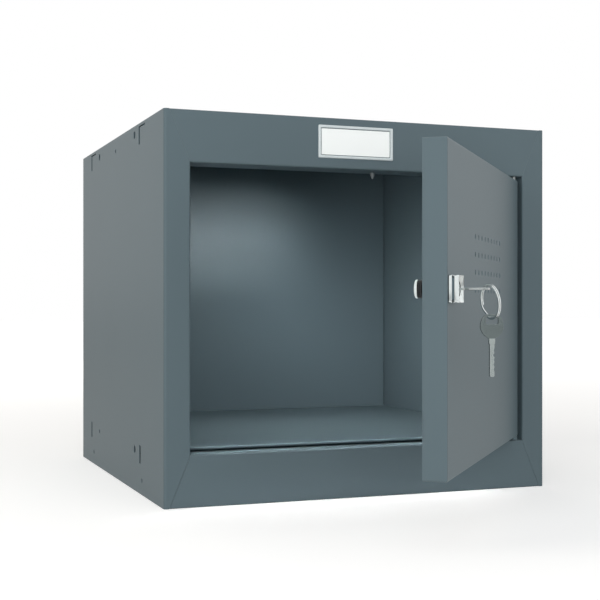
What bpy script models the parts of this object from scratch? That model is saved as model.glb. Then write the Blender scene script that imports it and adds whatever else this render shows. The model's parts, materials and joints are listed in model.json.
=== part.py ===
"""Cube locker: a folded steel carcass with one door, a cam lock, its key, a split ring and a spare key.

Metres, +Z up. The origin is the middle of the base's underside, X runs to the right and Y to the
back, so the front plane is at -DEPTH / 2. The door is modelled standing open, with the key in the lock.
"""
import math

import bmesh
import bpy
from mathutils import Matrix, Vector

# Carcass
WIDTH = 0.400
DEPTH = 0.406
HEIGHT = 0.366
SHEET = 0.001
BEND = 0.0015
CORNER_BEND = 0.0025
STILE = 0.025
RAIL = 0.0485
STILE_RETURN = 0.022
TOP_RETURN = 0.032
BASE_RETURN = 0.030
REAR_LIP = 0.015
SEAM = 0.0003
TOP_SEAM = 0.0001
SEAM_RELIEF = 0.001
SEAM_FOOT = 0.005
NOTCH = 0.003
FIT_GAP = 0.0003

# Back panel and raised floor
BACK_INSET = 0.018
FLOOR_STEP = 0.0043
FLOOR_SETBACK = 0.021
FLOOR_DROP = 0.015
HEM = 0.0024
HEM_RETURN = 0.008
RAIL_LEG = 0.010
RAIL_DROP = 0.005

# Fixing holes and cuts in both side panels
BOLT_HOLE = 0.008
SMALL_HOLE = 0.005
TOP_FRONT_HOLE_DROP = 0.0088
TOP_REAR_HOLE_DROP = 0.0101
TOP_SMALL_HOLE_DROP = 0.014
FLOOR_HOLE_HEIGHT = 0.0415
LOW_HOLE_HEIGHT = 0.014
TOP_FRONT_HOLE_SHARES = (0.298,)
TOP_REAR_HOLE_SHARES = (0.743,)
TOP_SMALL_HOLE_SHARES = (0.522,)
FLOOR_BOLT_HOLE_SHARES = (0.296,)
FLOOR_SMALL_HOLE_SHARES = (0.741,)
LOW_SMALL_HOLE_SHARES = (0.217, 0.825)
CUT_WIDTH = 0.0014
SLOT_WIDTH = 0.0062
TAB_SHARES = (0.2375, 0.8495)
RIGHT_TAB_SHARES = TAB_SHARES[:1]
TAB_DROP = 0.0035
TAB_REACH = 0.0216
TAB_HEIGHT = 0.018
SLOT_SHARES = (0.2305, 0.8495)
SLOT_HEIGHT = 0.039
SLOT_LENGTH = 0.018

# Label holder on the top rail
LABEL_WIDTH = 0.078
LABEL_HEIGHT = 0.0315
LABEL_BORDER = 0.003
LABEL_DEPTH = 0.0015
LABEL_CORNER = 0.0009
LABEL_RISE = 0.0012
LABEL_PLACE = -0.010
CARD_DEPTH = 0.0006

# Door
DOOR_ANGLE = 50.2
DOOR_SIDE_GAP = 0.002
DOOR_GAP = 0.00425
DOOR_FLANGE = 0.0193
HINGE_ROUND = 0.004
DOOR_BEND = 0.0013
HINGE_INSET = 0.007
HINGE_SETBACK = 0.005
VENT = 0.005
VENT_PITCH = 0.015
VENT_ROWS = 4
VENT_COLUMNS = 9
VENT_RISE = 0.0158

# Pivots
PIN = 0.004
PIN_HEAD = 0.006
PIN_HEAD_DEPTH = 0.0012
PIN_END = 0.0015
LOWER_COLLAR = 0.0075
UPPER_COLLAR = 0.006
UPPER_COLLAR_DEPTH = 0.001
PIVOT_PLATE = 0.002
PIVOT_PLATE_LENGTH = 0.030

# Buffer that the closed door meets
BUFFER = 0.005
BUFFER_LENGTH = 0.0059
BUFFER_PLACE = 0.018

# Cam lock, along its axis from the door's face
LOCK_INSET = 0.0125
LOCK_RISE = 0.0155
LOCK_FLANGE_WIDTH = 0.019
LOCK_FLANGE_HEIGHT = 0.0215
LOCK_FLANGE_DEPTH = 0.0027
LOCK_NECK_WIDTH = 0.0152
LOCK_NECK_HEIGHT = 0.0172
LOCK_GROOVE = 0.0017
LOCK_HEAD_WIDTH = 0.018
LOCK_HEAD_HEIGHT = 0.021
LOCK_HEAD = 0.0085
LOCK_CORNER = 0.0015
LOCK_CHAMFER = 0.0006
LOCK_DISH = 0.0019
LOCK_BARREL = 0.016
LOCK_BARREL_LENGTH = 0.0217
LOCK_NUT = 0.019
LOCK_NUT_DEPTH = 0.004
PLUG = 0.0117
PLUG_TAIL = 0.006
STOP_WASHER = 0.0144
WASHER_DEPTH = 0.0008
CAM_LENGTH = 0.026
CAM_WIDTH = 0.014
CAM_DEPTH = 0.0018
CAM_NUT = 0.0150
CAM_NUT_DEPTH = 0.0026

# Keys
KEY_THICKNESS = 0.0018
KEY_BOW = 0.0194
KEY_FLAT = 0.0086
KEY_BAR = 0.0018
KEY_HOLE_WIDTH = 0.011
KEY_HOLE_HEIGHT = 0.0058
KEY_HOLE_CORNER = 0.0015
KEY_NECK = 0.005
KEY_NECK_LENGTH = 0.0038
KEY_BLADE = 0.0038
KEY_BLADE_LENGTH = 0.0247
KEY_TIP = 0.0012
KEY_CUT_DEPTH_SHARES = (0.16, 0.30, 0.10, 0.24, 0.18)

# Split ring, a coil of nearly two turns, swung out a little from the end bar of the key's bow
RING = 0.0274
RING_BAND = 0.0016
RING_WIRE = 0.00075
RING_GAP = 0.00045
RING_TURN = 50
RING_SWING = 9.7
RING_DROP = 0.01007
RING_AHEAD = 0.00102
RING_SIDE = -0.0035
RING_STEPS = 24
RING_JOGGLE_SHARE = 0.11
SPARE_KEY_PLAY = 0.0008
SPARE_KEY_SHIFT = -0.0014

# Round shapes and cuts
STEPS = 24
HOLE_STEPS = 12
BEND_STEPS = 3
OVERRUN = 0.002

# Places that several pieces share
FRONT = -DEPTH / 2
REAR = DEPTH / 2
OPENING_BASE = RAIL
OPENING_TOP = HEIGHT - RAIL
FLOOR_TOP = OPENING_BASE + FLOOR_STEP
BACK_FACE = REAR - BACK_INSET
PIVOT_X = WIDTH / 2 - STILE - HINGE_INSET
PIVOT_Y = FRONT + HINGE_SETBACK
DOOR_BASE = OPENING_BASE + DOOR_GAP
DOOR_TOP = OPENING_TOP - DOOR_GAP
DOOR_REACH = PIVOT_X + WIDTH / 2 - STILE - DOOR_SIDE_GAP
DOOR_FACE = -HINGE_ROUND
PIN_HOLE = PIN / 2 + FIT_GAP
PLUG_BORE = PLUG / 2 + FIT_GAP
KEY_BOW_END = KEY_NECK_LENGTH + KEY_BOW / 2 + KEY_FLAT
KEY_HOLE_TOP = KEY_BOW_END - KEY_BAR
LOCK_HEIGHT = HEIGHT / 2 + LOCK_RISE
VENT_HEIGHT = HEIGHT / 2 + VENT_RISE
LABEL_MIDDLE = HEIGHT - RAIL / 2 + LABEL_RISE


def clear_scene():
    for old in list(bpy.data.objects):
        bpy.data.objects.remove(old)


def make_collection(name):
    collection = bpy.data.collections.new(name)
    bpy.context.scene.collection.children.link(collection)
    return collection


def make_material(name, colour, roughness, metallic):
    material = bpy.data.materials.new(name)
    material.use_nodes = True
    shader = material.node_tree.nodes["Principled BSDF"]
    shader.inputs["Base Color"].default_value = (*colour, 1)
    shader.inputs["Roughness"].default_value = roughness
    shader.inputs["Metallic"].default_value = metallic
    material.diffuse_color = (*colour, 1)
    return material


clear_scene()
PARTS = make_collection("cube_locker")
CUTTERS = make_collection("cutters")
MATERIALS = {
    "grey_paint": make_material("grey_paint", (0.105, 0.140, 0.150), 0.45, 0.0),
    "chrome": make_material("chrome", (0.75, 0.77, 0.78), 0.15, 1.0),
    "steel": make_material("steel", (0.55, 0.57, 0.58), 0.32, 1.0),
    "black_steel": make_material("black_steel", (0.03, 0.03, 0.032), 0.4, 0.6),
    "light_nylon": make_material("light_nylon", (0.62, 0.65, 0.66), 0.5, 0.0),
    "holder": make_material("holder", (0.60, 0.63, 0.64), 0.35, 0.4),
    "card": make_material("card", (0.90, 0.91, 0.91), 0.6, 0.0),
}


def make_empty(name, location, parent=None, rotation=(0, 0, 0)):
    """A joint's axis, or a frame that several pieces share."""
    empty = bpy.data.objects.new(name, None)
    PARTS.objects.link(empty)
    empty.location = location
    empty.rotation_euler = rotation
    empty.parent = parent
    return empty


def make_object(name, shape, slot, parent=None, location=(0, 0, 0), rotation=(0, 0, 0)):
    """An object in its place from a finished bmesh or mesh, with the material of its slot."""
    if isinstance(shape, bmesh.types.BMesh):
        mesh = bpy.data.meshes.new(name)
        shape.to_mesh(mesh)
        shape.free()
    else:
        mesh = shape
    if slot:
        mesh.materials.append(MATERIALS[slot])
    made = bpy.data.objects.new(name, mesh)
    (PARTS if slot else CUTTERS).objects.link(made)
    made.location = location
    made.rotation_euler = rotation
    made.parent = parent
    return made


def smooth(made, angle=30):
    made.data.shade_smooth()
    made.data.set_sharp_from_angle(angle=math.radians(angle))
    return made


def make_cutter(name, shape, parent=None, location=(0, 0, 0), rotation=(0, 0, 0)):
    cutter = make_object(name, shape, None, parent, location, rotation)
    cutter.hide_render = True
    cutter.display_type = "WIRE"
    return cutter


def cut(target, cutter):
    step = target.modifiers.new(cutter.name, "BOOLEAN")
    step.operation = "DIFFERENCE"
    step.object = cutter


def solidify(target, thickness):
    """Thickens an outer surface inwards."""
    step = target.modifiers.new("thickness", "SOLIDIFY")
    step.thickness = thickness
    step.offset = -1
    step.use_even_offset = True


def round_bends(target, widest):
    """Rounds the folds, each by its edge's weight times the widest radius."""
    step = target.modifiers.new("bends", "BEVEL")
    step.width = widest
    step.segments = BEND_STEPS
    step.limit_method = "WEIGHT"


def add_box(bm, low, high):
    centre = (Vector(low) + Vector(high)) / 2
    size = Vector(high) - Vector(low)
    place = Matrix.Translation(centre) @ Matrix.Diagonal((*size, 1))
    return bmesh.ops.create_cube(bm, size=1, matrix=place)["verts"]


def add_cylinder(bm, radius, length, centre, turn=None, steps=STEPS):
    """A cylinder whose axis is Z, or where turn takes Z."""
    place = Matrix.Translation(centre) @ (turn or Matrix.Identity(4))
    bmesh.ops.create_cone(bm, cap_ends=True, segments=steps, radius1=radius, radius2=radius,
                          depth=length, matrix=place)


def folded_sheet(name, left, right, radii, outward, slot="grey_paint"):
    """A sheet folded along the lines that join two chains of points, seen from its outer surface.

    radii holds each line's outer bend radius, zero where the sheet goes on flat. outward points
    away from the outer surface of the sheet's first panel.
    """
    bm = bmesh.new()
    left_row = [bm.verts.new(point) for point in left]
    right_row = [bm.verts.new(point) for point in right]
    for i in range(len(left) - 1):
        bm.faces.new((left_row[i], right_row[i], right_row[i + 1], left_row[i + 1]))
    weight = bm.edges.layers.float.new("bevel_weight_edge")
    for near, far, radius in zip(left_row, right_row, radii):
        bm.edges.get((near, far))[weight] = radius / max(radii)
    bm.normal_update()
    bm.faces.ensure_lookup_table()
    if bm.faces[0].normal.dot(Vector(outward)) < 0:
        bmesh.ops.reverse_faces(bm, faces=bm.faces)
    sheet = make_object(name, bm, slot)
    round_bends(sheet, max(radii))
    solidify(sheet, SHEET)
    return sheet


def pan(name, low, high, open_side, bends, parent=None):
    """A box of sheet that is open on one side, folded from one blank.

    bends gives the outer radius of a fold from its two end points.
    """
    bm = bmesh.new()
    add_box(bm, low, high)
    bm.normal_update()
    side = Vector(open_side)
    lids = [face for face in bm.faces if face.normal.dot(side) > 1 / 2]
    bmesh.ops.delete(bm, geom=lids, context="FACES")
    weight = bm.edges.layers.float.new("bevel_weight_edge")
    widest = 0
    for edge in bm.edges:
        if len(edge.link_faces) == 2:
            widest = max(widest, bends(edge.verts[0].co, edge.verts[1].co))
    for edge in bm.edges:
        if len(edge.link_faces) == 2:
            edge[weight] = bends(edge.verts[0].co, edge.verts[1].co) / widest
    made = make_object(name, bm, "grey_paint", parent)
    round_bends(made, widest)
    solidify(made, SHEET)
    return made


def turned(name, profile, slot, parent=None, location=(0, 0, 0), rotation=(0, 0, 0), closed=False):
    """A profile of (radius, height) points, outer side from top to bottom, turned about Z."""
    bm = bmesh.new()
    row = [bm.verts.new((radius, 0, height)) for radius, height in profile]
    for i in range(len(row) - 1):
        bm.edges.new((row[i], row[i + 1]))
    if closed:
        bm.edges.new((row[-1], row[0]))
    made = make_object(name, bm, slot, parent, location, rotation)
    step = made.modifiers.new("turn", "SCREW")
    step.steps = STEPS
    step.render_steps = STEPS
    step.use_merge_vertices = True
    step.merge_threshold = SHEET / 100
    step.use_smooth_shade = False
    return made


def washer_profile(inner, outer, low, high):
    return ((outer, high), (outer, low), (inner, low), (inner, high))


def arc(centre, radius, start, end, steps):
    """Points of an arc from start to end in degrees, both ends kept."""
    turns = [math.radians(start + (end - start) * i / steps) for i in range(steps + 1)]
    return [(centre[0] + radius * math.cos(t), centre[1] + radius * math.sin(t)) for t in turns]


def rounded_rectangle(half_width, half_height, corner, steps=4):
    """Outline points of a rectangle with round corners, about the origin."""
    across = half_width - corner
    up = half_height - corner
    points = []
    for x, y, start in ((across, up, 0), (-across, up, 90), (-across, -up, 180), (across, -up, 270)):
        points += arc((x, y), corner, start, start + 90, steps)
    return points


def moved(points, x, y):
    return [(px + x, py + y) for px, py in points]


def outline_plate(name, outlines, thickness, slot, parent=None, location=(0, 0, 0), rotation=(0, 0, 0)):
    """A flat plate from closed outlines in XY, the later ones holes in the first, as a mesh."""
    curve = bpy.data.curves.new(name, "CURVE")
    curve.dimensions = "2D"
    curve.fill_mode = "BOTH"
    curve.extrude = thickness / 2
    for outline in outlines:
        spline = curve.splines.new("POLY")
        spline.points.add(len(outline) - 1)
        spline.use_cyclic_u = True
        for point, (x, y) in zip(spline.points, outline):
            point.co = (x, y, 0, 1)
    return from_curve(name, curve, slot, parent, location, rotation)


def from_curve(name, curve, slot, parent, location, rotation):
    """The solid of a curve as a welded mesh object; the curve itself is removed."""
    guide = bpy.data.objects.new(name + "_guide", curve)
    CUTTERS.objects.link(guide)
    bpy.context.view_layer.update()
    evaluated = guide.evaluated_get(bpy.context.evaluated_depsgraph_get())
    mesh = bpy.data.meshes.new_from_object(evaluated)
    bpy.data.objects.remove(guide)
    bpy.data.curves.remove(curve)
    mesh.materials.clear()
    mesh.name = name
    bm = bmesh.new()
    bm.from_mesh(mesh)
    bmesh.ops.remove_doubles(bm, verts=bm.verts, dist=SHEET / 1000)
    bmesh.ops.recalc_face_normals(bm, faces=bm.faces)
    bm.to_mesh(mesh)
    bm.free()
    return make_object(name, mesh, slot, parent, location, rotation)


def side_panel(name, side):
    """Side wall, stile, the stile's return and a rear lip in one sheet; side is -1 or 1."""
    outer = side * WIDTH / 2
    plan = (
        (outer - side * STILE, FRONT + STILE_RETURN),
        (outer - side * STILE, FRONT),
        (outer - side * SEAM_FOOT, FRONT),
        (outer, FRONT),
        (outer, REAR),
        (outer - side * REAR_LIP, REAR),
    )
    low = (OPENING_BASE, OPENING_BASE, 0, 0, 0, 0)
    high = (OPENING_TOP, OPENING_TOP, HEIGHT, HEIGHT, HEIGHT, HEIGHT)
    radii = (0, BEND, 0, CORNER_BEND, BEND, 0)
    panel = folded_sheet(
        name,
        [(x, y, z) for (x, y), z in zip(plan, low)],
        [(x, y, z) for (x, y), z in zip(plan, high)],
        radii,
        (-side, 0, 0),
    )
    cut(panel, side_cuts(name + "_cuts", outer))
    return panel


def side_cuts(name, outer):
    """Bolt holes, small holes, tab cuts and slots through a side wall."""
    bm = bmesh.new()
    along_x = Matrix.Rotation(math.pi / 2, 4, "Y")
    rows = (
        (BOLT_HOLE, HEIGHT - TOP_FRONT_HOLE_DROP, TOP_FRONT_HOLE_SHARES),
        (BOLT_HOLE, HEIGHT - TOP_REAR_HOLE_DROP, TOP_REAR_HOLE_SHARES),
        (SMALL_HOLE, HEIGHT - TOP_SMALL_HOLE_DROP, TOP_SMALL_HOLE_SHARES),
        (BOLT_HOLE, FLOOR_HOLE_HEIGHT, FLOOR_BOLT_HOLE_SHARES),
        (SMALL_HOLE, FLOOR_HOLE_HEIGHT, FLOOR_SMALL_HOLE_SHARES),
        (SMALL_HOLE, LOW_HOLE_HEIGHT, LOW_SMALL_HOLE_SHARES),
    )
    for width, height, shares in rows:
        for share in shares:
            centre = (outer, FRONT + share * DEPTH, height)
            add_cylinder(bm, width / 2, OVERRUN * 2, centre, along_x, HOLE_STEPS)
    for share in SLOT_SHARES:
        y = FRONT + share * DEPTH
        add_box(bm, (outer - OVERRUN, y, SLOT_HEIGHT - SLOT_LENGTH / 2),
                (outer + OVERRUN, y + SLOT_WIDTH, SLOT_HEIGHT + SLOT_LENGTH / 2))
    for share in TAB_SHARES if outer < 0 else RIGHT_TAB_SHARES:
        y = FRONT + share * DEPTH
        top = HEIGHT - TAB_DROP + CUT_WIDTH / 2
        add_prism(bm, outer, OVERRUN, (
            (y + SLOT_WIDTH, top), (y - TAB_REACH, top), (y - TAB_REACH, top - CUT_WIDTH),
            (y, top - CUT_WIDTH), (y, top - TAB_HEIGHT), (y + SLOT_WIDTH, top - TAB_HEIGHT)))
    return make_cutter(name, bm)


def add_prism(bm, middle, reach, outline):
    """A prism along X over an outline of (y, z) points."""
    face = bm.faces.new([bm.verts.new((middle - reach, y, z)) for y, z in outline])
    grown = bmesh.ops.extrude_face_region(bm, geom=[face])
    for part in grown["geom"]:
        if isinstance(part, bmesh.types.BMVert):
            part.co.x = middle + reach
    bmesh.ops.recalc_face_normals(bm, faces=bm.faces)


def wall_panel(name, outer, inwards, return_depth, seam):
    """Top or base wall with its front rail, the rail's return and a rear lip in one sheet.

    outer is the wall's height, inwards is 1 for the base and -1 for the top.
    """
    rail_edge = outer + inwards * RAIL
    wall_half = WIDTH / 2 - SHEET - FIT_GAP
    lip_half = WIDTH / 2 - REAR_LIP - FIT_GAP
    foot_half = WIDTH / 2 - SEAM_FOOT - seam
    rail_half = WIDTH / 2 - STILE - seam
    chain = (
        (lip_half, REAR, outer + inwards * REAR_LIP),
        (lip_half, REAR, outer),
        (lip_half, REAR - NOTCH, outer),
        (wall_half, REAR - NOTCH * 2, outer),
        (wall_half, FRONT + NOTCH * 2, outer),
        (foot_half - SEAM_RELIEF, FRONT + NOTCH, outer),
        (foot_half, FRONT, outer),
        (rail_half, FRONT, rail_edge),
        (rail_half, FRONT + return_depth, rail_edge),
    )
    radii = (0, BEND, 0, 0, 0, 0, BEND, BEND, 0)
    panel = folded_sheet(
        name,
        [(-half, y, z) for half, y, z in chain],
        [(half, y, z) for half, y, z in chain],
        radii,
        (0, 1, 0),
    )
    cut(panel, pin_hole_cutter(name + "_pin_hole", (PIVOT_X, PIVOT_Y, rail_edge)))
    return panel


def pin_hole_cutter(name, centre, parent=None):
    bm = bmesh.new()
    add_cylinder(bm, PIN_HOLE, OVERRUN * 4, centre)
    return make_cutter(name, bm, parent)


def back_panel():
    edge = SHEET + FIT_GAP
    low = (-WIDTH / 2 + edge, BACK_FACE, edge)
    high = (WIDTH / 2 - edge, REAR - SHEET - BEND, HEIGHT - edge)
    return pan("back_panel", low, high, (0, 1, 0), lambda start, end: BEND)


def floor_panel():
    """Raised floor with a hem along its front edge and a flange along its back edge.

    It narrows to the opening's width where the stiles' returns stand beside it.
    """
    wide = WIDTH / 2 - SHEET - FIT_GAP
    narrow = WIDTH / 2 - STILE - FIT_GAP
    front = FRONT + FLOOR_SETBACK
    back = BACK_FACE - FIT_GAP
    step = FRONT + STILE_RETURN + FIT_GAP
    nose = arc((front + HEM / 2, FLOOR_TOP - HEM / 2), HEM / 2, 90, 270, 8)
    nose.append((front + HEM_RETURN, FLOOR_TOP - HEM))
    chain = [(wide, back, FLOOR_TOP - FLOOR_DROP), (wide, back, FLOOR_TOP)]
    chain += [(wide, step + NOTCH, FLOOR_TOP), (narrow, step, FLOOR_TOP)]
    chain += [(narrow, y, z) for y, z in nose]
    radii = [0, BEND] + [0] * (len(chain) - 2)
    return folded_sheet(
        "floor_panel",
        [(-x, y, z) for x, y, z in chain],
        [(x, y, z) for x, y, z in chain],
        radii,
        (0, 1, 0),
    )


def floor_rail(name, side):
    """An angle on the side wall that carries the floor."""
    wall = side * (WIDTH / 2 - SHEET - FIT_GAP)
    top = FLOOR_TOP - SHEET - FIT_GAP
    section = ((wall, top - RAIL_DROP), (wall, top), (wall - side * RAIL_LEG, top))
    front = FRONT + STILE_RETURN + FIT_GAP + NOTCH
    back = BACK_FACE - SHEET - BEND
    return folded_sheet(
        name,
        [(x, front, z) for x, z in section],
        [(x, back, z) for x, z in section],
        (0, BEND, 0),
        (side, 0, 0),
    )


def label_holder():
    """A pressed frame on the top rail, round a blank card."""
    half_width = LABEL_WIDTH / 2
    half_height = LABEL_HEIGHT / 2
    window_width = half_width - LABEL_BORDER
    window_height = half_height - LABEL_BORDER
    upright = (math.pi / 2, 0, 0)
    outer = rounded_rectangle(half_width, half_height, LABEL_CORNER)
    window = rounded_rectangle(window_width, window_height, LABEL_CORNER)
    place = (LABEL_PLACE, FRONT - LABEL_DEPTH / 2, LABEL_MIDDLE)
    frame = outline_plate("label_frame", (outer, window), LABEL_DEPTH, "holder", None, place, upright)
    card = rounded_rectangle(window_width - FIT_GAP, window_height - FIT_GAP, LABEL_CORNER - FIT_GAP)
    place = (LABEL_PLACE, FRONT - CARD_DEPTH / 2, LABEL_MIDDLE)
    outline_plate("label_card", (card,), CARD_DEPTH, "card", None, place, upright)
    return frame


def door_bend(start, end):
    """The hinge edge's fold is round about the pivot; the other folds are tight."""
    on_hinge_edge = min(start.x, end.x) > 0
    on_face = max(start.y, end.y) < 0
    return HINGE_ROUND if on_hinge_edge and on_face else DOOR_BEND


def door_panel(axis):
    low = (-DOOR_REACH, DOOR_FACE, DOOR_BASE)
    high = (HINGE_ROUND, DOOR_FACE + DOOR_FLANGE, DOOR_TOP)
    panel = pan("door_panel", low, high, (0, 1, 0), door_bend, axis)
    bm = bmesh.new()
    along_y = Matrix.Rotation(math.pi / 2, 4, "X")
    middle = (HINGE_ROUND - DOOR_REACH) / 2
    for row in range(VENT_ROWS):
        for column in range(VENT_COLUMNS):
            x = middle + (column - (VENT_COLUMNS - 1) / 2) * VENT_PITCH
            centre = (x, DOOR_FACE, VENT_HEIGHT + row * VENT_PITCH)
            add_cylinder(bm, VENT / 2, OVERRUN * 2, centre, along_y, HOLE_STEPS)
    lock_place = (LOCK_INSET - DOOR_REACH, DOOR_FACE, LOCK_HEIGHT)
    add_cylinder(bm, LOCK_BARREL / 2 + FIT_GAP, OVERRUN * 2, lock_place, along_y)
    for height in (DOOR_BASE, DOOR_TOP):
        add_cylinder(bm, PIN_HOLE, OVERRUN * 2, (0, 0, height))
    cut(panel, make_cutter("door_panel_holes", bm, axis))
    return panel


def pivot_plate(name, axis, flange, inwards):
    """A plate inside the door's flange that carries the pin, round about it."""
    inner = flange + inwards * SHEET
    edge = PIN_HOLE + FIT_GAP
    outline = arc((0, 0), edge, -90, 0, STEPS // 4)
    back = DOOR_FACE + DOOR_FLANGE - SHEET
    outline += [(edge, back), (-PIVOT_PLATE_LENGTH, back), (-PIVOT_PLATE_LENGTH, -edge)]
    hole = arc((0, 0), PIN_HOLE, 0, 360 - 360 / STEPS, STEPS - 1)
    place = (0, 0, inner + inwards * PIVOT_PLATE / 2)
    outline_plate(name, (outline, hole), PIVOT_PLATE, "steel", axis, place)


def hinge(name, rail_edge, flange, inwards, collar, collar_depth):
    """Pin and collar of one pivot, from the rail's return into the door; inwards is towards the door."""
    behind = rail_edge - inwards * SHEET
    head = behind - inwards * PIN_HEAD_DEPTH
    end = flange + inwards * (SHEET + PIVOT_PLATE + PIN_END)
    place = (PIVOT_X, PIVOT_Y, 0)
    profile = [(0, head), (PIN_HEAD / 2, head), (PIN_HEAD / 2, behind), (PIN / 2, behind),
               (PIN / 2, end), (0, end)]
    if inwards > 0:
        profile.reverse()
    smooth(turned("hinge_pin_" + name, profile, "steel", None, place))
    near_door = flange - inwards * FIT_GAP
    ends = sorted((near_door, near_door - inwards * collar_depth))
    ring = washer_profile(PIN_HOLE, collar / 2, *ends)
    smooth(turned("hinge_collar_" + name, ring, "grey_paint", None, place, closed=True))


def top_buffer():
    """A nylon stud under the top rail's return that the closed door's flange meets."""
    flange_end = PIVOT_Y + DOOR_FACE + DOOR_FLANGE
    place = (BUFFER_PLACE, flange_end + FIT_GAP + BUFFER / 2, OPENING_TOP)
    radius = BUFFER / 2
    nose = BUFFER_LENGTH - radius / 2
    profile = ((0, 0), (radius, 0), (radius, -nose), (radius / 2, -BUFFER_LENGTH), (0, -BUFFER_LENGTH))
    return smooth(turned("top_buffer", profile, "light_nylon", None, place))


def section_ring(half_width, half_height, corner):
    """24 points round a rounded rectangle, spaced evenly where it is a circle."""
    points = []
    per_corner = STEPS // 4
    for i in range(STEPS):
        quarter = i // per_corner
        turn = math.radians(90 * (i + 1 / 2) / per_corner)
        side_x = 1 if quarter in (0, 3) else -1
        side_y = 1 if quarter in (0, 1) else -1
        x = side_x * (half_width - corner) + corner * math.cos(turn)
        y = side_y * (half_height - corner) + corner * math.sin(turn)
        points.append((x, y))
    return points


def loft_round(name, rings, slot, parent):
    """A closed solid through rings of points, the last ring joined to the first."""
    bm = bmesh.new()
    rows = [[bm.verts.new(point) for point in ring] for ring in rings]
    for near, far in zip(rows, rows[1:] + rows[:1]):
        for i in range(STEPS):
            j = (i + 1) % STEPS
            bm.faces.new((near[i], near[j], far[j], far[i]))
    bmesh.ops.recalc_face_normals(bm, faces=bm.faces)
    return make_object(name, bm, slot, parent)


def dish_height(x, y):
    """Height of the lock head's dished front over the door's face, highest at its corners."""
    corner = math.hypot(LOCK_HEAD_WIDTH / 2 - LOCK_CHAMFER, LOCK_HEAD_HEIGHT / 2 - LOCK_CHAMFER)
    share = min(math.hypot(x, y) / corner, 1)
    return LOCK_HEAD - LOCK_DISH * (1 - share ** 2)


def lock_housing(frame):
    """Barrel, flange, groove and dished head, with the plug's bore right through."""
    def flat(width, height, corner, z):
        return [(x, y, z) for x, y in section_ring(width / 2, height / 2, corner)]

    def dished(width, height, corner, drop):
        ring = section_ring(width / 2, height / 2, corner)
        return [(x, y, dish_height(x, y) - drop) for x, y in ring]

    neck_top = LOCK_FLANGE_DEPTH + LOCK_GROOVE
    bore = PLUG_BORE * 2
    front_width = LOCK_HEAD_WIDTH - LOCK_CHAMFER * 2
    front_height = LOCK_HEAD_HEIGHT - LOCK_CHAMFER * 2
    rings = (
        flat(LOCK_BARREL, LOCK_BARREL, LOCK_BARREL / 2, -LOCK_BARREL_LENGTH),
        flat(LOCK_BARREL, LOCK_BARREL, LOCK_BARREL / 2, FIT_GAP),
        flat(LOCK_FLANGE_WIDTH, LOCK_FLANGE_HEIGHT, LOCK_CORNER, FIT_GAP),
        flat(LOCK_FLANGE_WIDTH, LOCK_FLANGE_HEIGHT, LOCK_CORNER, LOCK_FLANGE_DEPTH),
        flat(LOCK_NECK_WIDTH, LOCK_NECK_HEIGHT, LOCK_CORNER, LOCK_FLANGE_DEPTH),
        flat(LOCK_NECK_WIDTH, LOCK_NECK_HEIGHT, LOCK_CORNER, neck_top),
        flat(LOCK_HEAD_WIDTH, LOCK_HEAD_HEIGHT, LOCK_CORNER, neck_top),
        dished(LOCK_HEAD_WIDTH, LOCK_HEAD_HEIGHT, LOCK_CORNER, LOCK_CHAMFER),
        dished(front_width, front_height, LOCK_CORNER, 0),
        dished((front_width + bore) / 2, (front_height + bore) / 2, (LOCK_CORNER + bore / 2) / 2, 0),
        dished(bore, bore, bore / 2, 0),
        flat(bore, bore, bore / 2, -LOCK_BARREL_LENGTH),
    )
    return loft_round("lock_housing", rings, "chrome", frame)


def lock_nut(frame):
    """Hexagon nut that clamps the door's face against the lock's flange."""
    across_corners = LOCK_NUT / math.cos(math.pi / 6)
    outline = arc((0, 0), across_corners / 2, 30, 330, 5)
    hole = arc((0, 0), LOCK_BARREL / 2 + FIT_GAP, 0, 360 - 360 / STEPS, STEPS - 1)
    place = (0, 0, -SHEET - FIT_GAP - LOCK_NUT_DEPTH / 2)
    return outline_plate("lock_nut", (outline, hole), LOCK_NUT_DEPTH, "steel", frame, place)


PLUG_FACE = dish_height(PLUG / 2, 0) - FIT_GAP
WASHER_BACK = -LOCK_BARREL_LENGTH - FIT_GAP - WASHER_DEPTH
CAM_BACK = WASHER_BACK - CAM_DEPTH
NUT_BACK = CAM_BACK - CAM_NUT_DEPTH
KEY_SEAT = PLUG_FACE + FIT_GAP
TAIL_HOLE = PLUG_TAIL / 2 + FIT_GAP


def lock_plug(frame):
    """Turning plug with a keyway in front and a tail for the cam behind."""
    shoulder = WASHER_BACK + WASHER_DEPTH
    profile = ((0, PLUG_FACE), (PLUG / 2, PLUG_FACE), (PLUG / 2, shoulder), (PLUG_TAIL / 2, shoulder),
               (PLUG_TAIL / 2, NUT_BACK - FIT_GAP), (0, NUT_BACK - FIT_GAP))
    plug = smooth(turned("lock_plug", profile, "steel", frame))
    bm = bmesh.new()
    half_width = KEY_BLADE / 2 + FIT_GAP
    half_height = KEY_THICKNESS / 2 + FIT_GAP
    add_box(bm, (-half_width, -half_height, KEY_SEAT - KEY_BLADE_LENGTH - FIT_GAP * 2),
            (half_width, half_height, PLUG_FACE + OVERRUN))
    cut(plug, make_cutter("keyway", bm, frame))
    return plug


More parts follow.
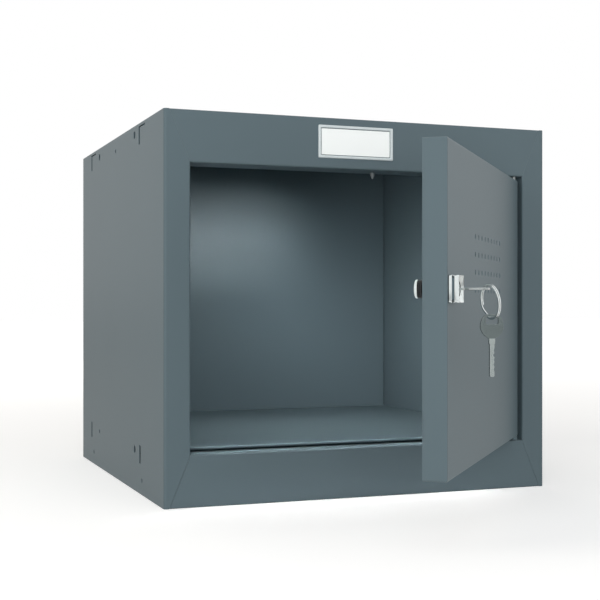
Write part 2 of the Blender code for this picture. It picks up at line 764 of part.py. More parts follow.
def lock_cam(frame):
    """Stop washer, cam and its nut, on the plug's tail; the cam points at the hinge side."""
    hole = arc((0, 0), TAIL_HOLE, 0, 360 - 360 / STEPS, STEPS - 1)
    washer = arc((0, 0), STOP_WASHER / 2, 20, 340, STEPS)
    washer.append((STOP_WASHER / 2 + WASHER_DEPTH, -STOP_WASHER / 6))
    washer.append((STOP_WASHER / 2 + WASHER_DEPTH, STOP_WASHER / 6))
    place = (0, 0, WASHER_BACK + WASHER_DEPTH / 2)
    outline_plate("stop_washer", (washer, hole), WASHER_DEPTH, "steel", frame, place)
    half = CAM_WIDTH / 2
    blade = half * 2 / 3
    outline = arc((0, 0), half, 50, 310, STEPS // 2)
    outline += [(half, -blade)] + arc((CAM_LENGTH - blade, 0), blade, -90, 90, STEPS // 3) + [(half, blade)]
    place = (0, 0, CAM_BACK + CAM_DEPTH / 2)
    outline_plate("lock_cam", (outline, hole), CAM_DEPTH, "black_steel", frame, place)
    profile = washer_profile(TAIL_HOLE, CAM_NUT / 2, NUT_BACK, CAM_BACK)
    smooth(turned("cam_nut", profile, "chrome", frame, closed=True))


def key_outlines():
    """Outline and bow hole of a flat key; its shoulder is at the origin and its bow is towards +Y."""
    bow = KEY_BOW / 2
    centre = KEY_NECK_LENGTH + bow
    flat_turn = math.degrees(math.asin(KEY_FLAT / bow))
    neck_turn = math.degrees(math.acos(KEY_NECK / 2 / bow))
    right = arc((0, centre), bow, flat_turn, -neck_turn, STEPS // 2)
    left = [(-x, y) for x, y in reversed(right)]
    half = KEY_BLADE / 2
    pitch = KEY_BLADE_LENGTH / (len(KEY_CUT_DEPTH_SHARES) + 2)
    blade = [(KEY_NECK / 2, 0), (half, 0)]
    for i, share in enumerate(KEY_CUT_DEPTH_SHARES):
        y = -pitch * (i + 1)
        depth = half - share * KEY_BLADE
        blade += [(half, y), (depth, y - pitch / 3), (depth, y - pitch / 2), (half, y - pitch * 5 / 6)]
    end = -KEY_BLADE_LENGTH
    blade += [(half, end + KEY_TIP), (half - KEY_TIP, end), (KEY_TIP - half, end), (-half, end + KEY_TIP)]
    blade += [(-half, 0), (-KEY_NECK / 2, 0)]
    hole = rounded_rectangle(KEY_HOLE_WIDTH / 2, KEY_HOLE_HEIGHT / 2, KEY_HOLE_CORNER, 3)
    return right + blade + left, moved(hole, 0, KEY_HOLE_TOP - KEY_HOLE_HEIGHT / 2)


def ring_centreline():
    """Middle line of the split ring: two flat turns joined by a joggle, about Z."""
    radius = RING / 2 - RING_BAND / 2
    rise = (RING_WIRE + RING_GAP) / 2
    joggle = RING_JOGGLE_SHARE
    count = round(RING_STEPS * (2 - joggle))
    points = []
    for i in range(count + 1):
        turns = i * (2 - joggle) / count
        share = min(max((turns - (1 - joggle)) / joggle, 0), 1)
        height = rise * (1 - 2 * (3 * share ** 2 - 2 * share ** 3))
        turn = 2 * math.pi * (turns + 1 / 8)
        points.append(Vector((radius * math.cos(turn), radius * math.sin(turn), height)))
    return points


def least_gap(points, width):
    """The least gap of a coil to itself, from points over a half turn apart."""
    apart = RING_STEPS // 2
    gaps = [(a - b).length - width for i, a in enumerate(points) for b in points[i + apart:]]
    return min(gaps)


def split_ring(parent, location, rotation):
    """The coil as a tube, stretched to its flat section."""
    points = ring_centreline()
    print("split ring, least gap to itself in mm:", round(least_gap(points, RING_WIRE) * 1000, 3))
    curve = bpy.data.curves.new("split_ring", "CURVE")
    curve.dimensions = "3D"
    curve.bevel_depth = RING_WIRE / 2
    curve.bevel_resolution = 1
    curve.use_fill_caps = True
    spline = curve.splines.new("POLY")
    spline.points.add(len(points) - 1)
    for point, place in zip(spline.points, points):
        point.co = (*place, 1)
    ring = from_curve("split_ring", curve, "steel", parent, location, rotation)
    middle = RING / 2 - RING_BAND / 2
    for vertex in ring.data.vertices:
        radius = math.hypot(vertex.co.x, vertex.co.y)
        stretch = (middle + (radius - middle) * RING_BAND / RING_WIRE) / radius
        vertex.co.x *= stretch
        vertex.co.y *= stretch
    return smooth(ring, 50)


def keys_and_ring(frame):
    """The key in the lock, the ring through its bow and the spare key on the ring."""
    upright = (math.pi / 2, 0, 0)
    outlines = key_outlines()
    outline_plate("key", outlines, KEY_THICKNESS, "steel", frame, (0, 0, KEY_SEAT), upright)
    swing = math.radians(RING_SWING)
    turn = math.radians(RING_TURN)
    bar = make_empty("ring_axis", (0, 0, KEY_SEAT + KEY_BOW_END - KEY_BAR / 2), frame, (-swing, 0, 0))
    split_ring(bar, (RING_SIDE, -RING_DROP, RING_AHEAD), (0, -math.pi / 2 - turn, 0))
    wire = RING / 2 - RING_BAND / 2
    place = (RING_SIDE, -RING_DROP - wire, RING_AHEAD)
    spare_axis = make_empty("spare_key_axis", place, bar, (swing, 0, 0))
    hang = RING_BAND / 2 + SPARE_KEY_PLAY - KEY_HOLE_TOP
    shift = SPARE_KEY_SHIFT
    place = (shift * math.cos(turn), hang, shift * math.sin(turn))
    outline_plate("spare_key", outlines, KEY_THICKNESS, "steel", spare_axis, place, (0, -turn, 0))


def build():
    side_panel("left_side", -1)
    side_panel("right_side", 1)
    wall_panel("top_panel", HEIGHT, -1, TOP_RETURN, TOP_SEAM)
    wall_panel("base_panel", 0, 1, BASE_RETURN, SEAM)
    back_panel()
    floor_panel()
    floor_rail("floor_rail_left", -1)
    floor_rail("floor_rail_right", 1)
    label_holder()
    top_buffer()
    hinge("lower", OPENING_BASE, DOOR_BASE, 1, LOWER_COLLAR, DOOR_GAP - FIT_GAP)
    hinge("upper", OPENING_TOP, DOOR_TOP, -1, UPPER_COLLAR, UPPER_COLLAR_DEPTH)
    door_axis = make_empty("door_axis", (PIVOT_X, PIVOT_Y, 0), None, (0, 0, math.radians(DOOR_ANGLE)))
    door_panel(door_axis)
    pivot_plate("pivot_plate_lower", door_axis, DOOR_BASE, 1)
    pivot_plate("pivot_plate_upper", door_axis, DOOR_TOP, -1)
    lock_place = (LOCK_INSET - DOOR_REACH, DOOR_FACE, LOCK_HEIGHT)
    lock_axis = make_empty("lock_axis", lock_place, door_axis, (math.pi / 2, 0, 0))
    lock_housing(lock_axis)
    lock_nut(lock_axis)
    lock_plug(lock_axis)
    lock_cam(lock_axis)
    keys_and_ring(lock_axis)


build()
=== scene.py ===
"""Looks of the cube locker: powder-coated sheet, chrome cam lock, nickel keys and a blank label.

Metres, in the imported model's frame: +Z up, -Y out of the front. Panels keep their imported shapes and
get their finish here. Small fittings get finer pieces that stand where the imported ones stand.
"""
import json
import math
from collections import namedtuple

import bmesh
import bpy
from mathutils import Matrix, Vector

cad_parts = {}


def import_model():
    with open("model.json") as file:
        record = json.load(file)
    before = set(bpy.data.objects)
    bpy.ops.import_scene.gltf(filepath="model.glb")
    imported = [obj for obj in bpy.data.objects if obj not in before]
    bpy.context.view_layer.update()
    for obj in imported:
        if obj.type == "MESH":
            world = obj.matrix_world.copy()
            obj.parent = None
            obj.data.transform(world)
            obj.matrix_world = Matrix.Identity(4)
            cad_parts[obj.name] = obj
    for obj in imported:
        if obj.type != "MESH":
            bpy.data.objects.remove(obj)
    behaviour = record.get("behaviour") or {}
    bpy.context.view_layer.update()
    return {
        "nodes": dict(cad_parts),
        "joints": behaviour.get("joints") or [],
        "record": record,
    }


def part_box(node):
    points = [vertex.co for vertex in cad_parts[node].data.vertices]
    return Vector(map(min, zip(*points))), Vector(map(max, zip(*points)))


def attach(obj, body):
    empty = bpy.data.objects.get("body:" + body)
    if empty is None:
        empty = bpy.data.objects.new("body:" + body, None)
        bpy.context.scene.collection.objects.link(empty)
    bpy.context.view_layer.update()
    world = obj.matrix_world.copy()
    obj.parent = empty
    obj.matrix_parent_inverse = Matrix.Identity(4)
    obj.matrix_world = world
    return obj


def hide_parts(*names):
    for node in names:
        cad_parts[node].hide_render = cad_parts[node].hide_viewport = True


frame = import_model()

MM = 0.001

# Camera, as the photograph was taken
CAMERA_PLACE = (-0.4645, -1.2561, 0.18615)
CAMERA_TURN = -20.65
CAMERA_LENS = 71.1
CAMERA_RISE = 0.0087

# Finishes. A tone is 0 to 255 a channel. Each texture starts with its cells a metre and its detail.
# tint and wear add how far colour and roughness go, a grain adds its strength and its height.
Look = namedtuple("Look", "tone roughness metallic tint wear grains")
COAT_LOOK = Look((90, 105, 111), 0.42, 0.0, (7, 3, 0.012), (1400, 2, 0.02),
                 ((1400, 2, 0.10, 0.2 * MM), (4200, 1, 0.06, 0.1 * MM)))
CHROME_LOOK = Look((226, 233, 232), 0.12, 1.0, (300, 2, 0.02), (500, 3, 0.04),
                   ((420, 2, 0.08, 0.1 * MM),))
NICKEL_LOOK = Look((150, 157, 157), 0.34, 1.0, (220, 3, 0.06), (2600, 3, 0.07),
                   ((2600, 3, 0.12, 0.05 * MM),))
KEY_LOOK = NICKEL_LOOK._replace(tone=(168, 177, 176), roughness=0.30)
# Painted highlight: a lighter, glossier copy of the key's nickel for the side faces of its plate
KEY_SIDES_HIGHLIGHT_LOOK = NICKEL_LOOK._replace(tone=(178, 184, 184), roughness=0.25)
RING_LOOK = NICKEL_LOOK._replace(tone=(228, 233, 233), roughness=0.20)
BLACK_LOOK = Look((22, 24, 26), 0.4, 0.4, (260, 3, 0.15), (700, 3, 0.06),
                  ((900, 2, 0.1, 0.05 * MM),))
# The nylon's tone is its own pale grey darkened by painted shade, for the shadow it stands in under the
# top rail
NYLON_LOOK = Look((126, 133, 135), 0.45, 0.0, (500, 2, 0.03), (800, 2, 0.05),
                  ((1500, 2, 0.08, 0.05 * MM),))
HOLDER_LOOK = Look((204, 213, 215), 0.34, 0.15, (180, 3, 0.02), (900, 2, 0.05),
                   ((1600, 2, 0.06, 0.05 * MM),))
CARD_LOOK = Look((248, 252, 251), 0.6, 0.0, (1800, 4, 0.012), (1800, 4, 0.05),
                 ((1800, 4, 0.08, 0.05 * MM),))
NOISE_SPAN = (0.3, 0.7)
COAT_SHEEN = 0.18
NYLON_SCATTER = (0.1, 1.0 * MM)
FIBRE_STRETCH = (1, 1, 3)
# Painted shade on the key's bow: a darker tone standing in for the dark surroundings it mirrors
KEY_BOW_SHADE_TONE = (112, 122, 122)
KEY_BOW_BLEND = 0.2 * MM

# Painted edge highlight: radius, lighter tone and how far it goes, then the bend at which it starts and
# is full
COAT_EDGE_HIGHLIGHT = (0.6 * MM, (128, 142, 148), 0.35)
KEY_EDGE_HIGHLIGHT = (0.5 * MM, (214, 220, 220), 0.75)
EDGE_BENDS = (0.75, 0.98)
EDGE_SAMPLES = 4

# Lock, along its axis from the door's face
FLANGE_SIZE = (0.019, 0.0215)
FLANGE_SPAN = (0.0003, 0.0027)
NECK_SIZE = (0.0152, 0.0172)
HEAD_SIZE = (0.018, 0.021)
HEAD_START = 0.0044
HEAD_FRONT = 0.0085
HEAD_DISH = 0.0027
HEAD_CORNER = 0.0015
HEAD_EDGE = 0.0006
HEAD_EDGE_SHARE = 0.3
DISH_STEPS = 5
BARREL = 0.016
BARREL_END = -0.0217
BARREL_THREAD = 0.0004
THREAD_PITCH = 0.0012
PLUG_BORE = 0.01175
PLUG = 0.0115
PLUG_DEPTH = 0.0222
PLUG_SETBACK = 0.0003
PLUG_RIM = 0.0003
TAIL_GAP = 0.0003
KEYWAY = (0.0042, 0.0024)
KEYWAY_SPARE = 0.001
CAM_HOLE = 0.0062
CAM_NUT = 0.015
NUT_EDGE = 0.0007

# Keys, in the plane of the plate with the shoulder at the origin
KEY_PLATE = 0.0018
KEY_BOW = 0.0194
KEY_BOW_MIDDLE = 0.0135
KEY_BOW_END = 0.0221
KEY_BOW_START = 0.0038
KEY_HOLE = (0.011, 0.0058)
KEY_HOLE_CORNER = 0.0015
KEY_BAR = 0.0018
KEY_NECK = 0.005
KEY_BLADE = 0.0038
KEY_BLADE_END = -0.0247
KEY_EDGE = 0.00022
KEY_GROOVE = (0.0011, 0.0003)
KEY_GROOVE_START = -0.001
KEY_TIP_SHARE = 0.3
KEY_CUT_SHARES = (0.16, 0.30, 0.10, 0.24, 0.18)
KEY_CUT_STAGES = (1 / 3, 1 / 2, 5 / 6)
KEY_BOW_STEPS = 36
KEY_HOLE_STEPS = 6
KEY_SIDE_SLOPE = 0.5

# Split ring: the turn of its plane about the key's axis and its swing outwards
RING = 0.0272
RING_BAND = 0.0016
RING_LEAF = 0.00085
RING_RISE = 0.00060
RING_TURNS = 1.89
RING_JOGGLE_SHARE = 0.11
RING_START_SHARE = 0.625
RING_TURN = 50
RING_SWING = 9.7
RING_CORNER_SHARE = 0.42
RING_CORNER_STEPS = 5
RING_STEPS = 190
RING_SMOOTH = 50

# Label holder
LABEL_BORDER = 0.0026
LABEL_CORNER = 0.0009
LABEL_CORNER_STEPS = 6
LABEL_EASE_SHARE = 0.3

# Buffer stud under the top rail
STUD_TIP_SHARE = 0.45
STUD_STEPS = 48
STUD_DOME_STEPS = 12

# Softboxes: name, place, size, power in watts and colour, all aimed at one point
LIT_POINT = (0, -0.1, 0.18)
NEUTRAL = (1, 1, 1)
WARM = (1.0, 0.96, 0.87)
SOFTBOXES = (
    ("front_right_softbox", (0.9, -2.4, 0.5), (2.0, 1.6), 14.0, NEUTRAL),
    ("front_left_softbox", (-1.2, -2.2, 0.5), (2.2, 1.8), 45.0, NEUTRAL),
    ("high_softbox", (0, -1.8, 1.8), (2.2, 1.6), 3.0, NEUTRAL),
    ("left_softbox", (-1.3, -0.1, 1.1), (1.0, 1.0), 5.5, WARM),
    ("right_softbox", (2.2, -0.6, 0.6), (1.8, 1.8), 8.0, WARM),
    ("top_softbox", (0, -0.3, 2.4), (2, 2), 12.0, NEUTRAL),
    ("back_softbox", (0, 2.4, 1.2), (2, 2), 16.0, WARM),
)

# Small lamps in the doorway: name, place, target, size, power in watts and spread in degrees
FILL_LIGHTS = (
    ("floor_fill", (0, -0.16, 0.325), (0, -0.03, 0.05), (0.26, 0.04), 0.45, 110),
    ("upper_back_fill", (0, -0.15, 0.315), (-0.045, 0.186, 0.269), (0.20, 0.02), 0.052, 28),
    ("back_fill", (0, -0.15, 0.315), (0.01, 0.186, 0.215), (0.16, 0.02), 0.04, 44),
    ("right_wall_fill", (-0.13, -0.16, 0.25), (0.199, 0.10, 0.17), (0.04, 0.10), 0.12, 60),
    ("sill_fill", (-0.02, -0.187, 0.30), (-0.02, -0.189, 0.05), (0.30, 0.01), 0.04, 16),
)
OPEN_SPREAD = 180

# Surroundings: the floor's glow rises to white between two distances from the origin
WORLD_LIGHT = 0.10
FLOOR_REACH = 12
FLOOR_SHADE = (0.8, 0.8, 0.8, 1)
FLOOR_GLOW = 0.45
FLOOR_GLOW_SPAN = (0.5, 3.5)
MIRRORED_GLOW = 0.3

# Mesh detail, and the fine hole that turned solids keep on their axis
ROUND_STEPS = 64
SMOOTH = 35
PLATE_EDGE_STEPS = 2
WELD_REACH = 0.01 * MM
AXIS_HOLE = 0.2 * MM
OVERRUN = 0.002


def linear(red, green, blue):
    """A colour of 0 to 255 a channel, as linear light."""
    def channel(value):
        share = value / 255
        return share / 12.92 if share <= 0.04045 else ((share + 0.055) / 1.055) ** 2.4
    return (channel(red), channel(green), channel(blue), 1)


class Finish:
    """A Principled material with the textures of its look."""

    def __init__(self, name, look, stretch=None):
        self.material = bpy.data.materials.new(name)
        self.material.use_nodes = True
        self.tree = self.material.node_tree
        self.shader = self.tree.nodes["Principled BSDF"]
        self.place = self.node("ShaderNodeTexCoord").outputs["Object"]
        self.stretch = stretch
        colour = linear(*look.tone)
        self.set("Base Color", colour)
        self.set("Roughness", look.roughness)
        self.set("Metallic", look.metallic)
        self.vary_colour(colour, *look.tint)
        self.vary_roughness(look.roughness, *look.wear)
        below = None
        for grain in look.grains:
            below = self.bump(below, *grain)

    def node(self, kind):
        return self.tree.nodes.new(kind)

    def set(self, socket, value):
        self.shader.inputs[socket].default_value = value

    def link(self, output, socket):
        self.tree.links.new(output, socket)

    def noise(self, scale, detail):
        texture = self.node("ShaderNodeTexNoise")
        texture.inputs["Scale"].default_value = scale
        texture.inputs["Detail"].default_value = detail
        place = self.place
        if self.stretch:
            mapping = self.node("ShaderNodeMapping")
            mapping.inputs["Scale"].default_value = self.stretch
            self.link(place, mapping.inputs["Vector"])
            place = mapping.outputs["Vector"]
        self.link(place, texture.inputs["Vector"])
        return texture.outputs["Fac"]

    def range(self, value, low, high, span=NOISE_SPAN):
        """Maps a span of the value, by default a noise's usual one, to low..high."""
        step = self.node("ShaderNodeMapRange")
        step.inputs["From Min"].default_value = span[0]
        step.inputs["From Max"].default_value = span[1]
        step.inputs["To Min"].default_value = low
        step.inputs["To Max"].default_value = high
        self.link(value, step.inputs["Value"])
        return step.outputs["Result"]

    def mix(self, share, near, far):
        """Base colour that goes from near, a colour or a socket, to the colour far."""
        mix = self.node("ShaderNodeMix")
        mix.data_type = "RGBA"
        self.link(share, mix.inputs["Factor"])
        if isinstance(near, bpy.types.NodeSocket):
            self.link(near, mix.inputs["A"])
        else:
            mix.inputs["A"].default_value = near
        mix.inputs["B"].default_value = far
        self.link(mix.outputs["Result"], self.shader.inputs["Base Color"])

    def colour_so_far(self):
        return self.shader.inputs["Base Color"].links[0].from_socket

    def vary_colour(self, colour, scale, detail, spread):
        """Darkens and lightens the colour by a share, along the texture."""
        dark, light = ([c * (1 + change) for c in colour[:3]] + [1] for change in (-spread, spread))
        self.mix(self.range(self.noise(scale, detail), 0, 1), dark, light)

    def vary_roughness(self, middle, scale, detail, spread):
        value = self.range(self.noise(scale, detail), middle - spread, middle + spread)
        self.link(value, self.shader.inputs["Roughness"])

    def bump(self, below, scale, detail, strength, height):
        """Adds a grain on top of the one below it."""
        step = self.node("ShaderNodeBump")
        step.inputs["Strength"].default_value = strength
        step.inputs["Distance"].default_value = height
        self.link(self.noise(scale, detail), step.inputs["Height"])
        if below:
            self.link(below, step.inputs["Normal"])
        self.link(step.outputs["Normal"], self.shader.inputs["Normal"])
        return step.outputs["Normal"]

    def paint_shade_above(self, height, tone):
        """Painted shade: a darker base colour where the object's own Y is above a height."""
        split = self.node("ShaderNodeSeparateXYZ")
        self.link(self.place, split.inputs["Vector"])
        share = self.range(split.outputs["Y"], 0, 1, (height, height + KEY_BOW_BLEND))
        self.mix(share, self.colour_so_far(), linear(*tone))

    def painted_edge_highlight(self, radius, tone, amount):
        """Painted highlight: the base colour turns a little towards a lighter tone along convex edges.
        """
        bevel = self.node("ShaderNodeBevel")
        bevel.inputs["Radius"].default_value = radius
        bevel.samples = EDGE_SAMPLES
        geometry = self.node("ShaderNodeNewGeometry")
        dot = self.node("ShaderNodeVectorMath")
        dot.operation = "DOT_PRODUCT"
        self.link(bevel.outputs["Normal"], dot.inputs[0])
        self.link(geometry.outputs["Normal"], dot.inputs[1])
        share = self.range(dot.outputs["Value"], amount, 0, EDGE_BENDS)
        self.mix(share, self.colour_so_far(), linear(*tone))


def powder_coat():
    """Blue-grey powder coat: orange-peel grain, fine speckle and a painted highlight of slightly lighter
    edges.
    """
    finish = Finish("grey_powder_coat", COAT_LOOK)
    finish.set("Specular IOR Level", COAT_SHEEN)
    # Painted highlight: a lighter tone along the sheet's convex edges
    finish.painted_edge_highlight(*COAT_EDGE_HIGHLIGHT)
    return finish.material


def key_nickel():
    """Nickel key whose bow has painted shade, a darker, duller tone than its blade, and whose edges have
    a painted highlight.
    """
    finish = Finish("key_nickel", KEY_LOOK)
    # Painted shade: the bow turns darker than the blade
    finish.paint_shade_above(KEY_BOW_START, KEY_BOW_SHADE_TONE)
    # Painted highlight: a lighter tone along the key's convex edges
    finish.painted_edge_highlight(*KEY_EDGE_HIGHLIGHT)
    return finish.material


def pale_nylon_with_painted_shade():
    # Painted shade: the nylon's grey is darker than its own pale tone
    finish = Finish("pale_nylon_with_painted_shade", NYLON_LOOK)
    finish.set("Subsurface Weight", NYLON_SCATTER[0])
    finish.set("Subsurface Scale", NYLON_SCATTER[1])
    return finish.material


COAT = powder_coat()
CHROME = Finish("bright_chrome", CHROME_LOOK).material
NICKEL = Finish("satin_nickel", NICKEL_LOOK).material
KEY_NICKEL = key_nickel()
KEY_SIDES_HIGHLIGHT = Finish("key_sides_painted_highlight", KEY_SIDES_HIGHLIGHT_LOOK).material
RING_STEEL = Finish("ring_steel", RING_LOOK).material
BLACK_AND_SHADE = Finish("black_plate_and_painted_shade", BLACK_LOOK).material
NYLON = pale_nylon_with_painted_shade()
HOLDER = Finish("holder_metal", HOLDER_LOOK).material
PAPER = Finish("card_paper", CARD_LOOK, FIBRE_STRETCH).material
SLOT_MATERIALS = {
    "grey_paint": COAT,
    "chrome": CHROME,
    "steel": NICKEL,
    "black_steel": BLACK_AND_SHADE,
    "light_nylon": NYLON,
    "holder": HOLDER,
    "card": PAPER,
}
NODE_SLOTS = {part["node"]: part["material_slot"] for part in frame["record"]["subparts"]}


def finish_nodes():
    """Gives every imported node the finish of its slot."""
    for name, node in frame["nodes"].items():
        node.data.materials.clear()
        node.data.materials.append(SLOT_MATERIALS[NODE_SLOTS[name]])
    # Painted shade: the stop washer takes the black, for the dark behind the door
    frame["nodes"]["stop_washer"].data.materials[0] = BLACK_AND_SHADE


def joint(name):
    return next(item for item in frame["joints"] if item["name"] == name)


def lock_frame():
    """The lock's own axes on the door's face: X across the door, Y up, Z outwards."""
    turning = joint("lock_turn")
    out = Vector(turning["axis"]).normalized()
    up = Vector((0, 0, 1))
    across = up.cross(out)
    place = Matrix((across, up, out)).transposed().to_4x4()
    place.translation = Vector(turning["pos_m"])
    return place


LOCK = lock_frame()


def middle(node):
    low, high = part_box(node)
    return (low + high) / 2


def shown(name, mesh, material, body, nodes=(), place=None, smooth=SMOOTH):
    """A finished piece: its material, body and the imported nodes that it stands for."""
    piece = bpy.data.objects.new(name, mesh)
    bpy.context.scene.collection.objects.link(piece)
    mesh.materials.clear()
    mesh.materials.append(material)
    if place is not None:
        piece.matrix_world = place
    mesh.shade_smooth()
    mesh.set_sharp_from_angle(angle=math.radians(smooth))
    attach(piece, body)
    if nodes:
        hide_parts(*nodes)
    return piece


def to_mesh(bm, name):
    bmesh.ops.recalc_face_normals(bm, faces=bm.faces)
    mesh = bpy.data.meshes.new(name)
    bm.to_mesh(mesh)
    bm.free()
    return mesh


def arc(centre, radius, start, end, steps):
    turns = [math.radians(start + (end - start) * i / steps) for i in range(steps + 1)]
    return [(centre[0] + radius * math.cos(t), centre[1] + radius * math.sin(t)) for t in turns]


def rounded_box(width, height, corner, per_corner=16):
    """Points round a rectangle with round corners, a full circle where the corner allows it."""
    across = width / 2 - corner
    up = height / 2 - corner
    points = []
    for x, y, start in ((across, up, 0), (-across, up, 90), (-across, -up, 180), (across, -up, 270)):
        points += arc((x, y), corner, start, start + 90, per_corner - 1)
    return points


def lofted(rings, closed=False):
    """A skin through rings of points with as many points each, capped at both ends unless closed."""
    bm = bmesh.new()
    rows = [[bm.verts.new(point) for point in ring] for ring in rings]
    pairs = list(zip(rows, rows[1:]))
    if closed:
        pairs.append((rows[-1], rows[0]))
    count = len(rings[0])
    for near, far in pairs:
        for i in range(count):
            j = (i + 1) % count
            bm.faces.new((near[i], near[j], far[j], far[i]))
    if not closed:
        bm.faces.new(rows[0])
        bm.faces.new(rows[-1])
    return bm


def turned(profile, closed=False, steps=ROUND_STEPS):
    """A profile of (radius, height) points turned about Z; closed joins its last point to its first."""
    rings = []
    for radius, height in profile:
        circle = [(radius * math.cos(t), radius * math.sin(t), height)
                  for t in (math.tau * i / steps for i in range(steps))]
        rings.append(circle)
    return lofted(rings, closed)


def eased(profile, radius, steps=3):
    """A closed profile with each corner cut back to an arc-like run of points."""
    points = []
    count = len(profile)
    for i, corner in enumerate(profile):
        before = Vector(profile[i - 1])
        after = Vector(profile[(i + 1) % count])
        here = Vector(corner)
        start = here + (before - here).normalized() * radius
        end = here + (after - here).normalized() * radius
        for k in range(steps + 1):
            share = k / steps
            first = start.lerp(here, share)
            second = here.lerp(end, share)
            points.append(tuple(first.lerp(second, share)))
    return points


def cut_with(mesh, cutter_bm, name):
    """The mesh with a solid taken out of it."""
    body = bpy.data.objects.new(name + "_body", mesh)
    tool = bpy.data.objects.new(name + "_tool", to_mesh(cutter_bm, name + "_tool"))
    for helper in (body, tool):
        bpy.context.scene.collection.objects.link(helper)
    step = body.modifiers.new("cut", "BOOLEAN")
    step.operation = "DIFFERENCE"
    step.solver = "EXACT"
    step.object = tool
    bpy.context.view_layer.update()
    evaluated = body.evaluated_get(bpy.context.evaluated_depsgraph_get())
    result = bpy.data.meshes.new_from_object(evaluated)
    result.name = name
    bpy.data.objects.remove(body)
    bpy.data.objects.remove(tool)
    return result


def box_bm(low, high):
    bm = bmesh.new()
    bmesh.ops.create_cube(bm, size=1)
    size = Vector(high) - Vector(low)
    centre = (Vector(low) + Vector(high)) / 2
    for vertex in bm.verts:
        vertex.co = Vector([a * b for a, b in zip(vertex.co, size)]) + centre
    return bm


def plate(outline, holes, thickness, edge):
    """A stamped plate from outlines in XY, with eased edges on both faces."""
    curve = bpy.data.curves.new("plate", "CURVE")
    curve.dimensions = "2D"
    curve.fill_mode = "BOTH"
    curve.extrude = thickness / 2 - edge
    curve.bevel_depth = edge
    curve.bevel_resolution = PLATE_EDGE_STEPS
    curve.offset = -edge
    for points in [outline] + holes:
        spline = curve.splines.new("POLY")
        spline.points.add(len(points) - 1)
        spline.use_cyclic_u = True
        for point, (x, y) in zip(spline.points, points):
            point.co = (x, y, 0, 1)
    guide = bpy.data.objects.new("plate", curve)
    bpy.context.scene.collection.objects.link(guide)
    bpy.context.view_layer.update()
    evaluated = guide.evaluated_get(bpy.context.evaluated_depsgraph_get())
    mesh = bpy.data.meshes.new_from_object(evaluated)
    bpy.data.objects.remove(guide)
    bm = bmesh.new()
    bm.from_mesh(mesh)
    bmesh.ops.remove_doubles(bm, verts=bm.verts, dist=WELD_REACH)
    bpy.data.meshes.remove(mesh)
    return to_mesh(bm, "plate")


def dish(x, y):
    """Height of the lock head's hollow front, highest at its corners."""
    corner = math.hypot(HEAD_SIZE[0] / 2 - HEAD_EDGE, HEAD_SIZE[1] / 2 - HEAD_EDGE)
    share = min(math.hypot(x, y) / corner, 1)
    return HEAD_FRONT - HEAD_DISH * (1 - share ** 2)


def lock_body():
    """Threaded barrel, flange, groove and hollow-fronted head in one piece."""
    def level(size, corner, height):
        return [(x, y, height) for x, y in rounded_box(*size, corner)]

    def shrunk(size, amount):
        return (size[0] - amount * 2, size[1] - amount * 2)

    def hollow(size, corner, drop=0):
        return [(x, y, dish(x, y) - drop) for x, y in rounded_box(*size, corner)]

    barrel = (BARREL, BARREL)
    core = shrunk(barrel, BARREL_THREAD)
    rings = []
    turns = round((FLANGE_SPAN[0] - BARREL_END) / THREAD_PITCH)
    for i in range(turns):
        low = BARREL_END + i * THREAD_PITCH
        rings.append(level(core, core[0] / 2, low))
        rings.append(level(barrel, BARREL / 2, low + THREAD_PITCH / 2))
    rings.append(level(core, core[0] / 2, FLANGE_SPAN[0]))
    ease = HEAD_EDGE / 2
    rings.append(level(shrunk(FLANGE_SIZE, ease), HEAD_CORNER, FLANGE_SPAN[0]))
    rings.append(level(FLANGE_SIZE, HEAD_CORNER, FLANGE_SPAN[0] + ease))
    rings.append(level(FLANGE_SIZE, HEAD_CORNER, FLANGE_SPAN[1] - ease))
    rings.append(level(shrunk(FLANGE_SIZE, ease), HEAD_CORNER, FLANGE_SPAN[1]))
    rings.append(level(NECK_SIZE, HEAD_CORNER, FLANGE_SPAN[1]))
    rings.append(level(NECK_SIZE, HEAD_CORNER, HEAD_START))
    rings.append(level(shrunk(HEAD_SIZE, ease), HEAD_CORNER, HEAD_START))
    rings.append(level(HEAD_SIZE, HEAD_CORNER, HEAD_START + ease))
    rings.append(hollow(HEAD_SIZE, HEAD_CORNER, HEAD_EDGE))
    part_edge = HEAD_EDGE * HEAD_EDGE_SHARE
    rings.append(hollow(shrunk(HEAD_SIZE, part_edge), HEAD_CORNER, part_edge))
    rings.append(hollow(shrunk(HEAD_SIZE, HEAD_EDGE), HEAD_CORNER))
    bore = PLUG_BORE
    front = shrunk(HEAD_SIZE, HEAD_EDGE)
    for i in range(DISH_STEPS):
        share = (i + 1) / DISH_STEPS
        size = [side + (bore - side) * share for side in front]
        rings.append(hollow(size, HEAD_CORNER + (bore / 2 - HEAD_CORNER) * share))
    rings.append(level((bore, bore), bore / 2, BARREL_END))
    mesh = to_mesh(lofted(rings, closed=True), "lock_body")
    piece = shown("lock_body", mesh, CHROME, "door", ["lock_housing"], LOCK)
    mesh.materials.append(BLACK_AND_SHADE)
    mesh.materials.append(COAT)
    # Painted shade: the threaded barrel behind the flange takes the black, for the dark it sits in and
    # mirrors behind the door; the groove takes the coat
    for face in mesh.polygons:
        if face.center.z < FLANGE_SPAN[0] + ease:
            face.material_index = 1
        elif FLANGE_SPAN[1] + ease / 4 < face.center.z < HEAD_START:
            face.material_index = 2
    return piece


